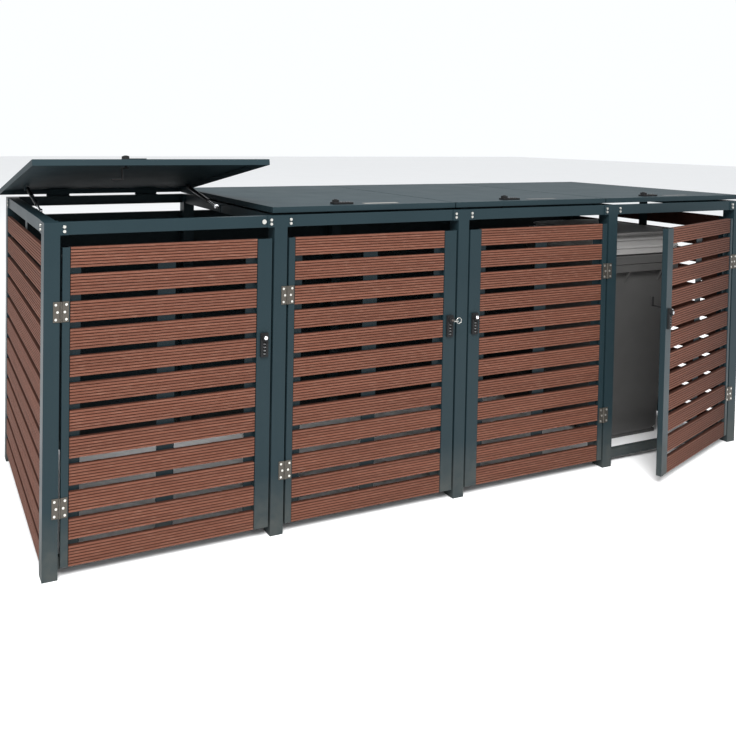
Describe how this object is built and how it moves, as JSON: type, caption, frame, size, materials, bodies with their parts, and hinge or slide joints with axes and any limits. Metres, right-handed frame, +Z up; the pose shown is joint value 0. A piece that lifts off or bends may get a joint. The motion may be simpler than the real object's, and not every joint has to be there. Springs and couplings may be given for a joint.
{
  "type": "bin station",
  "caption": "Four-bay outdoor station that hides wheeled bins behind slatted doors, with hinged lids on gas struts.",
  "frame": {"origin": "on the ground at the centre of the frame's footprint", "axes": "+X along the row of bays, +Y from the doors to the rear panels, +Z up"},
  "size_m": [3.246, 1.1753, 1.3263],
  "materials": {
    "frame": "powder coat, dark anthracite blue-grey",
    "slats": "grooved wood composite, red-brown, matt",
    "hardware": "satin steel",
    "lock": "black, slightly textured",
    "strut_black": "black gloss paint",
    "strut_rod": "polished",
    "bin_tub": "dark grey moulded plastic",
    "bin_cover": "light grey moulded plastic",
    "tyre": "black"
  },
  "bodies": {
    "enclosure": {"front_posts": "frame", "rear_posts": "frame", "front_rails": "frame", "rear_rails": "frame", "cross_rails": "frame", "bottom_rails": "frame", "rear_panels": "frame", "left_side_slats": "slats", "right_side_slats": "slats", "side_straps": "frame", "frame_bolts": "hardware", "post_hinge_leaves": "hardware", "lid_hinge_frame_halves": "frame", "strut_brackets": "frame", "bin_body": "bin_tub"},
    "door_1": {"door_1_frame": "frame", "door_1_slats": "slats", "door_1_fittings": "hardware"},
    "door_1_lock": {"door_1_lock_knob": "lock"},
    "door_1_dials": {"door_1_lock_dials": "lock"},
    "door_2": {"door_2_frame": "frame", "door_2_slats": "slats", "door_2_fittings": "hardware"},
    "door_2_lock": {"door_2_lock_knob": "lock", "door_2_key": "hardware"},
    "door_2_dials": {"door_2_lock_dials": "lock"},
    "door_3": {"door_3_frame": "frame", "door_3_slats": "slats", "door_3_fittings": "hardware"},
    "door_3_lock": {"door_3_lock_knob": "lock"},
    "door_3_dials": {"door_3_lock_dials": "lock"},
    "door_4": {"door_4_frame": "frame", "door_4_slats": "slats", "door_4_fittings": "hardware"},
    "door_4_lock": {"door_4_lock_knob": "lock"},
    "door_4_dials": {"door_4_lock_dials": "lock"},
    "lid_1": {"lid_1": "frame"},
    "lid_1_lock": {"lid_1_lock_knob": "lock"},
    "lid_1_dials": {"lid_1_lock_dials": "lock"},
    "strut_cylinders_1": {"strut_cylinders_1": "strut_black"},
    "strut_rods_1": {"strut_rods_1": "strut_rod"},
    "lid_2": {"lid_2": "frame"},
    "lid_2_lock": {"lid_2_lock_knob": "lock"},
    "lid_2_dials": {"lid_2_lock_dials": "lock"},
    "strut_cylinders_2": {"strut_cylinders_2": "strut_black"},
    "strut_rods_2": {"strut_rods_2": "strut_rod"},
    "lid_3": {"lid_3": "frame"},
    "lid_3_lock": {"lid_3_lock_knob": "lock"},
    "lid_3_dials": {"lid_3_lock_dials": "lock"},
    "strut_cylinders_3": {"strut_cylinders_3": "strut_black"},
    "strut_rods_3": {"strut_rods_3": "strut_rod"},
    "lid_4": {"lid_4": "frame"},
    "lid_4_lock": {"lid_4_lock_knob": "lock"},
    "lid_4_dials": {"lid_4_lock_dials": "lock"},
    "strut_cylinders_4": {"strut_cylinders_4": "strut_black"},
    "strut_rods_4": {"strut_rods_4": "strut_rod"},
    "bin_lid": {"bin_lid": "bin_cover"},
    "bin_wheels": {"bin_wheels": "tyre", "bin_axle": "hardware"}
  },
  "joints": [
    {"name": "door_1_hinge", "type": "hinge", "parent": "enclosure", "child": "door_1", "pos_m": [-1.551, -0.482, 0.536], "axis": [0, 0, -1], "range_deg": [0, 110]},
    {"name": "door_1_lock_turn", "type": "hinge", "parent": "door_1", "child": "door_1_lock", "pos_m": [-0.85, -0.48, 0.705], "axis": [0, 1, 0], "range_deg": [0, 90]},
    {"name": "door_1_dials_turn", "type": "hinge", "parent": "door_1", "child": "door_1_dials", "pos_m": [-0.85, -0.4846, 0.665], "axis": [0, 0, -1], "continuous": true},
    {"name": "door_2_hinge", "type": "hinge", "parent": "enclosure", "child": "door_2", "pos_m": [-0.761, -0.482, 0.536], "axis": [0, 0, -1], "range_deg": [0, 110]},
    {"name": "door_2_lock_turn", "type": "hinge", "parent": "door_2", "child": "door_2_lock", "pos_m": [-0.06, -0.48, 0.705], "axis": [0, 1, 0], "range_deg": [0, 90]},
    {"name": "door_2_dials_turn", "type": "hinge", "parent": "door_2", "child": "door_2_dials", "pos_m": [-0.06, -0.4846, 0.665], "axis": [0, 0, -1], "continuous": true},
    {"name": "door_3_hinge", "type": "hinge", "parent": "enclosure", "child": "door_3", "pos_m": [0.761, -0.482, 0.536], "axis": [0, 0, 1], "range_deg": [0, 110]},
    {"name": "door_3_lock_turn", "type": "hinge", "parent": "door_3", "child": "door_3_lock", "pos_m": [0.06, -0.48, 0.705], "axis": [0, -1, 0], "range_deg": [0, 90]},
    {"name": "door_3_dials_turn", "type": "hinge", "parent": "door_3", "child": "door_3_dials", "pos_m": [0.06, -0.4846, 0.665], "axis": [0, 0, -1], "continuous": true},
    {"name": "door_4_hinge", "type": "hinge", "parent": "enclosure", "child": "door_4", "pos_m": [1.551, -0.482, 0.536], "axis": [0, 0, 1], "range_deg": [-16, 94]},
    {"name": "door_4_lock_turn", "type": "hinge", "parent": "door_4", "child": "door_4_lock", "pos_m": [0.8766, -0.6733, 0.705], "axis": [0.2756, -0.9613, 0], "range_deg": [0, 90]},
    {"name": "door_4_dials_turn", "type": "hinge", "parent": "door_4", "child": "door_4_dials", "pos_m": [0.87787, -0.67772, 0.665], "axis": [0, 0, -1], "continuous": true},
    {"name": "lid_1_hinge", "type": "hinge", "parent": "enclosure", "child": "lid_1", "pos_m": [-1.185, 0.475, 1.128], "axis": [-1, 0, 0], "range_deg": [-10.2, 49.8]},
    {"name": "lid_1_lock_turn", "type": "hinge", "parent": "lid_1", "child": "lid_1_lock", "pos_m": [-1.327, -0.40196, 1.30814], "axis": [0, 0.1771, 0.9842], "range_deg": [0, 90]},
    {"name": "lid_1_dials_turn", "type": "hinge", "parent": "lid_1", "child": "lid_1_dials", "pos_m": [-1.287, -0.40114, 1.31267], "axis": [1, 0, 0], "continuous": true},
    {"name": "strut_cylinders_1_swing", "type": "hinge", "parent": "lid_1", "child": "strut_cylinders_1", "pos_m": [-1.185, 0.2743, 1.17021], "axis": [1, 0, 0], "range_deg": [-13.25, 64.47]},
    {"name": "strut_rods_1_stroke", "type": "slide", "parent": "strut_cylinders_1", "child": "strut_rods_1", "axis": [0, -0.9853, -0.1708], "range_m": [-0.02902, 0.14092]},
    {"name": "lid_2_hinge", "type": "hinge", "parent": "enclosure", "child": "lid_2", "pos_m": [-0.395, 0.475, 1.128], "axis": [-1, 0, 0], "range_deg": [0, 60]},
    {"name": "lid_2_lock_turn", "type": "hinge", "parent": "lid_2", "child": "lid_2_lock", "pos_m": [-0.537, -0.42, 1.15], "axis": [0, 0, 1], "range_deg": [0, 90]},
    {"name": "lid_2_dials_turn", "type": "hinge", "parent": "lid_2", "child": "lid_2_dials", "pos_m": [-0.497, -0.42, 1.1546], "axis": [1, 0, 0], "continuous": true},
    {"name": "strut_cylinders_2_swing", "type": "hinge", "parent": "lid_2", "child": "strut_cylinders_2", "pos_m": [-0.395, 0.27, 1.134], "axis": [1, 0, 0], "range_deg": [0, 80.93]},
    {"name": "strut_rods_2_stroke", "type": "slide", "parent": "strut_cylinders_2", "child": "strut_rods_2", "axis": [0, -0.9981, -0.0624], "range_m": [0, 0.14944]},
    {"name": "lid_3_hinge", "type": "hinge", "parent": "enclosure", "child": "lid_3", "pos_m": [0.395, 0.475, 1.128], "axis": [-1, 0, 0], "range_deg": [0, 60]},
    {"name": "lid_3_lock_turn", "type": "hinge", "parent": "lid_3", "child": "lid_3_lock", "pos_m": [0.253, -0.42, 1.15], "axis": [0, 0, 1], "range_deg": [0, 90]},
    {"name": "lid_3_dials_turn", "type": "hinge", "parent": "lid_3", "child": "lid_3_dials", "pos_m": [0.293, -0.42, 1.1546], "axis": [1, 0, 0], "continuous": true},
    {"name": "strut_cylinders_3_swing", "type": "hinge", "parent": "lid_3", "child": "strut_cylinders_3", "pos_m": [0.395, 0.27, 1.134], "axis": [1, 0, 0], "range_deg": [0, 80.93]},
    {"name": "strut_rods_3_stroke", "type": "slide", "parent": "strut_cylinders_3", "child": "strut_rods_3", "axis": [0, -0.9981, -0.0624], "range_m": [0, 0.14944]},
    {"name": "lid_4_hinge", "type": "hinge", "parent": "enclosure", "child": "lid_4", "pos_m": [1.185, 0.475, 1.128], "axis": [-1, 0, 0], "range_deg": [0, 60]},
    {"name": "lid_4_lock_turn", "type": "hinge", "parent": "lid_4", "child": "lid_4_lock", "pos_m": [1.043, -0.42, 1.15], "axis": [0, 0, 1], "range_deg": [0, 90]},
    {"name": "lid_4_dials_turn", "type": "hinge", "parent": "lid_4", "child": "lid_4_dials", "pos_m": [1.083, -0.42, 1.1546], "axis": [1, 0, 0], "continuous": true},
    {"name": "strut_cylinders_4_swing", "type": "hinge", "parent": "lid_4", "child": "strut_cylinders_4", "pos_m": [1.185, 0.27, 1.134], "axis": [1, 0, 0], "range_deg": [0, 80.93]},
    {"name": "strut_rods_4_stroke", "type": "slide", "parent": "strut_cylinders_4", "child": "strut_rods_4", "axis": [0, -0.9981, -0.0624], "range_m": [0, 0.14944]},
    {"name": "bin_lid_hinge", "type": "hinge", "parent": "enclosure", "child": "bin_lid", "pos_m": [1.185, 0.192, 0.884], "axis": [-1, 0, 0], "range_deg": [0, 18]},
    {"name": "bin_wheels_roll", "type": "hinge", "parent": "enclosure", "child": "bin_wheels", "pos_m": [1.185, 0.185, 0.1], "axis": [1, 0, 0], "continuous": true}
  ],
  "couplings": [
    {"joint": "strut_cylinders_1_swing", "follows": "lid_1_hinge", "ratio": 1.2937},
    {"joint": "strut_rods_1_stroke", "follows": "lid_1_hinge", "m_per_rad": 0.1619},
    {"joint": "strut_cylinders_2_swing", "follows": "lid_2_hinge", "ratio": 1.348},
    {"joint": "strut_rods_2_stroke", "follows": "lid_2_hinge", "m_per_rad": 0.14251},
    {"joint": "strut_cylinders_3_swing", "follows": "lid_3_hinge", "ratio": 1.348},
    {"joint": "strut_rods_3_stroke", "follows": "lid_3_hinge", "m_per_rad": 0.14251},
    {"joint": "strut_cylinders_4_swing", "follows": "lid_4_hinge", "ratio": 1.348},
    {"joint": "strut_rods_4_stroke", "follows": "lid_4_hinge", "m_per_rad": 0.14251}
  ]
}
